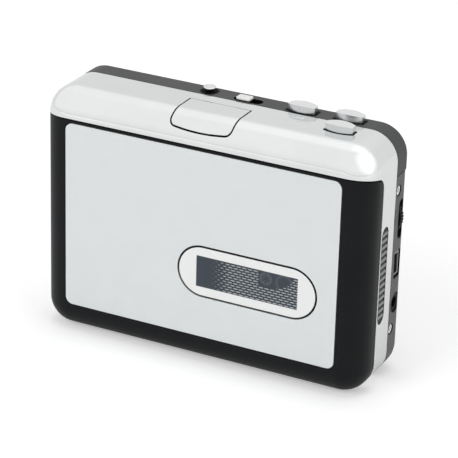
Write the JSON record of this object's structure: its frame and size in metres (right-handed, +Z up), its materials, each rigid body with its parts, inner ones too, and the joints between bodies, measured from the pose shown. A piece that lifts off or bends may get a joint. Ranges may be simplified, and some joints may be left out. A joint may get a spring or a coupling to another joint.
{
  "type": "usb cassette player",
  "caption": "Pocket cassette player: chrome frame, silver-faced hinged door with pill window, top buttons, side volume wheel, USB and headphone sockets, belt driven tape mechanism inside.",
  "frame": {"origin": "centre of the case's base", "axes": "+X to the right seen from the front, +Y to the back, +Z up; the door faces -Y"},
  "size_m": [0.1145, 0.032, 0.0853],
  "materials": {
    "chrome": "bright plated plastic",
    "rear_grey": "fine satin",
    "door_black": "satin gloss",
    "face_silver": "fine satin silver",
    "lens": "clear moulded lens with a white printed border",
    "film": "printed dot pattern",
    "grip": "ribbed",
    "steel": "drawn or turned",
    "chassis_steel": "zinc plated sheet",
    "dark_plastic": "moulded",
    "light_plastic": "moulded",
    "board": "solder mask",
    "brass": "turned",
    "rubber": "moulded",
    "cell": "plain sleeve"
  },
  "bodies": {
    "case": {"front_frame": "chrome", "rear_shell": "rear_grey", "control_panel": "rear_grey", "side_grip_right": "grip", "side_grip_left": "grip", "hinge_pins": "steel", "release_tab_pin": "steel", "release_spring": "steel", "play_spring": "steel", "stop_spring": "steel", "wind_spring": "steel", "direction_spring": "steel", "usb_socket": "steel", "mode_switch_body": "steel", "motor": "steel", "battery_contacts": "steel", "case_screws": "steel", "chassis_screws": "steel", "mech_chassis": "chassis_steel", "button_bracket": "chassis_steel", "direction_bezel": "dark_plastic", "volume_pot": "dark_plastic", "headphone_jack": "dark_plastic", "deck_plate": "dark_plastic", "main_pcb": "board", "capstan_bushes": "brass", "drive_belt": "rubber", "battery_cells": "cell"},
    "door": {"door_shell": "door_black", "door_face_plate": "face_silver", "door_window": "lens", "window_screen": "film", "cassette_guides": "door_black", "cassette_springs": "steel"},
    "tab": {"release_tab": "chrome"},
    "play": {"play_button": "chrome"},
    "stop": {"stop_button": "chrome"},
    "wind": {"wind_button": "chrome"},
    "direction": {"direction_button": "chrome"},
    "switch_knob": {"mode_switch_knob": "light_plastic"},
    "volume": {"volume_wheel": "dark_plastic"},
    "reel_left": {"reel_spindle_left": "light_plastic"},
    "reel_right": {"reel_spindle_right": "light_plastic"},
    "capstan_left": {"capstan_flywheel_left": "steel"},
    "capstan_right": {"capstan_flywheel_right": "steel"},
    "pulley": {"motor_pulley": "brass"},
    "idler": {"idler_gear": "light_plastic"},
    "carriage": {"head_carriage": "chassis_steel", "tape_head": "steel"},
    "roller_left": {"pinch_roller_left": "rubber"},
    "roller_right": {"pinch_roller_right": "rubber"},
    "battery_lid": {"battery_cover": "rear_grey"}
  },
  "joints": [
    {"name": "door_hinge", "type": "hinge", "parent": "case", "child": "door", "pos_m": [0, -0.0074, 0.0019], "axis": [1, 0, 0], "range_deg": [0, 45]},
    {"name": "release_tab_lift", "type": "hinge", "parent": "case", "child": "tab", "pos_m": [0, -0.0012, 0.0797], "axis": [-1, 0, 0], "range_deg": [0, 6], "stiffness_Nm_per_rad": 0.05, "springref_deg": -2.86},
    {"name": "play_press", "type": "slide", "parent": "case", "child": "play", "axis": [0, 0, -1], "range_m": [0, 0.0018], "stiffness_N_per_m": 600, "springref_m": -0.0005, "deforming": ["play_spring"]},
    {"name": "stop_press", "type": "slide", "parent": "case", "child": "stop", "axis": [0, 0, -1], "range_m": [0, 0.0018], "stiffness_N_per_m": 600, "springref_m": -0.0005, "deforming": ["stop_spring"]},
    {"name": "wind_press", "type": "slide", "parent": "case", "child": "wind", "axis": [0, 0, -1], "range_m": [0, 0.0018], "stiffness_N_per_m": 600, "springref_m": -0.0005, "deforming": ["wind_spring"]},
    {"name": "direction_press", "type": "slide", "parent": "case", "child": "direction", "axis": [0, 0, -1], "range_m": [0, 0.0009], "stiffness_N_per_m": 600, "springref_m": -0.0005, "deforming": ["direction_spring"]},
    {"name": "mode_switch_slide", "type": "slide", "parent": "case", "child": "switch_knob", "axis": [1, 0, 0], "range_m": [0, 0.0026]},
    {"name": "volume_turn", "type": "hinge", "parent": "case", "child": "volume", "pos_m": [0.0495, 0.0083, 0.0533], "axis": [0, 1, 0], "range_deg": [-135, 135]},
    {"name": "capstan_right_spin", "type": "hinge", "parent": "case", "child": "capstan_right", "pos_m": [0.032, 0, 0.0608], "axis": [0, 1, 0], "continuous": true},
    {"name": "capstan_left_spin", "type": "hinge", "parent": "case", "child": "capstan_left", "pos_m": [-0.032, 0, 0.0608], "axis": [0, 1, 0], "continuous": true},
    {"name": "motor_spin", "type": "hinge", "parent": "case", "child": "pulley", "pos_m": [-0.0414, 0, 0.041], "axis": [0, 1, 0], "continuous": true},
    {"name": "idler_spin", "type": "hinge", "parent": "case", "child": "idler", "pos_m": [0.02986, 0, 0.04869], "axis": [0, 1, 0], "continuous": true},
    {"name": "reel_right_spin", "type": "hinge", "parent": "case", "child": "reel_right", "pos_m": [0.02125, 0, 0.0322], "axis": [0, 1, 0], "continuous": true},
    {"name": "reel_left_spin", "type": "hinge", "parent": "case", "child": "reel_left", "pos_m": [-0.02125, 0, 0.0322], "axis": [0, 1, 0], "continuous": true},
    {"name": "head_slide", "type": "slide", "parent": "case", "child": "carriage", "axis": [0, 0, -1], "range_m": [0, 0.0048]},
    {"name": "roller_left_spin", "type": "hinge", "parent": "carriage", "child": "roller_left", "pos_m": [-0.032, 0, 0.0709], "axis": [0, 1, 0], "continuous": true},
    {"name": "roller_right_spin", "type": "hinge", "parent": "carriage", "child": "roller_right", "pos_m": [0.032, 0, 0.0709], "axis": [0, 1, 0], "continuous": true},
    {"name": "battery_cover_lift", "type": "slide", "parent": "case", "child": "battery_lid", "axis": [0, 1, 0], "range_m": [0, 0.02]}
  ],
  "couplings": [
    {"joint": "capstan_left_spin", "follows": "capstan_right_spin", "ratio": -1},
    {"joint": "motor_spin", "follows": "capstan_right_spin", "ratio": 4.4483},
    {"joint": "idler_spin", "follows": "capstan_right_spin", "ratio": -0.46429},
    {"joint": "reel_right_spin", "follows": "capstan_right_spin", "ratio": 0.38235},
    {"joint": "head_slide", "follows": "play_press", "ratio": 2.6667}
  ]
}
